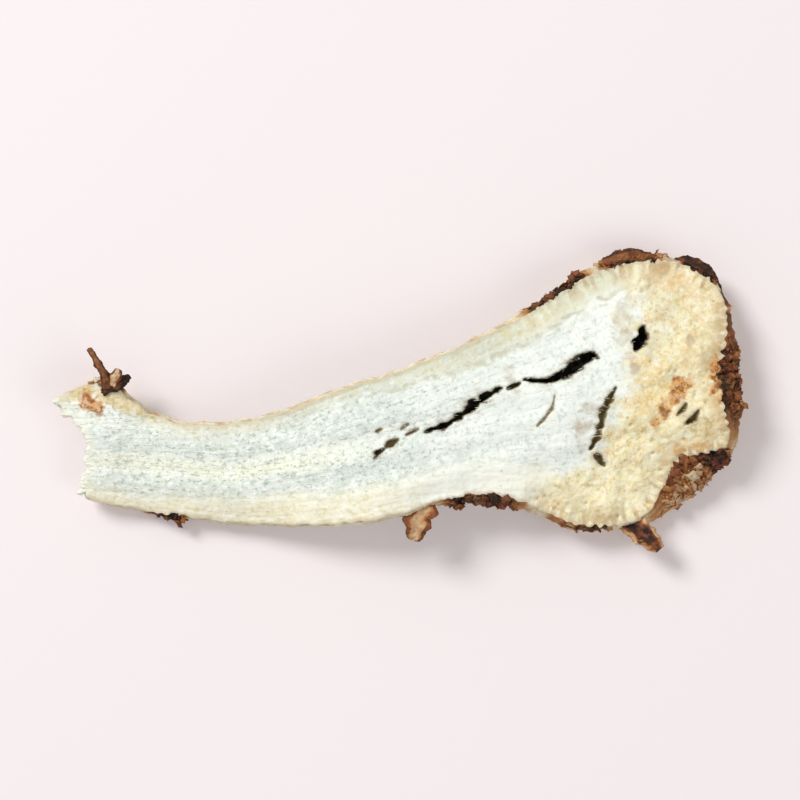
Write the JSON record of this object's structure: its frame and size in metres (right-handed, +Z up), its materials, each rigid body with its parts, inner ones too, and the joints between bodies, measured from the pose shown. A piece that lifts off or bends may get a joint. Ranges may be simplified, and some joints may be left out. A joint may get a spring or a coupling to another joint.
{
  "type": "dried angelica root slice",
  "caption": "Dried lengthwise slice of angelica root, with a rounded knobbly crown, a tapering fibrous body, a fissured pith, wrinkled bark round the edge and a torn tail.",
  "frame": {"origin": "middle of the slice's box seen from above, at the height of the surface that it lies on", "axes": "+X from the torn tail towards the crown, +Y across the slice, +Z up out of the cut face that shows"},
  "size_m": [0.0722, 0.0318, 0.0072],
  "materials": {
    "dried_root": "matte"
  },
  "bodies": {
    "root": {"root_slice": "dried_root"}
  },
  "joints": []
}
